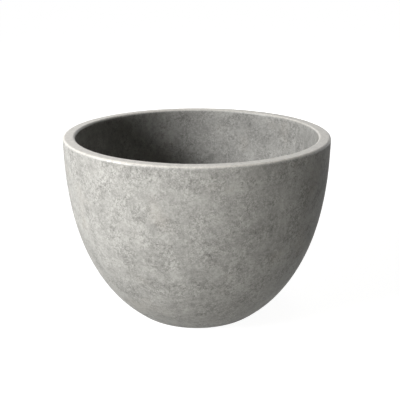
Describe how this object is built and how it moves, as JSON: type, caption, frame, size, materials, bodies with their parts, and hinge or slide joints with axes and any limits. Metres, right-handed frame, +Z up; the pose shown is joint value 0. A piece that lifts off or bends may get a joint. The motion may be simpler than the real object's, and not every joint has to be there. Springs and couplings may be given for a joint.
{
  "type": "bowl planter",
  "caption": "Deep round concrete bowl planter with a flat rim, a curved side, a small flat foot and a plugged drain hole in its floor.",
  "frame": {"origin": "centre of the foot, on the plane that the planter stands on", "axes": "+Z straight up along the bowl's axis, out of its mouth; the bowl is round, so +X is free, and the plug's pull tab runs along it"},
  "size_m": [0.45, 0.45, 0.312],
  "materials": {
    "concrete": "satin",
    "plug_rubber": "matte"
  },
  "bodies": {
    "bowl": {"bowl": "concrete"},
    "drain_plug": {"drain_plug": "plug_rubber"}
  },
  "joints": [
    {"name": "plug_lift", "type": "slide", "parent": "bowl", "child": "drain_plug", "axis": [0, 0, 1], "range_m": [0, 0.025]}
  ]
}
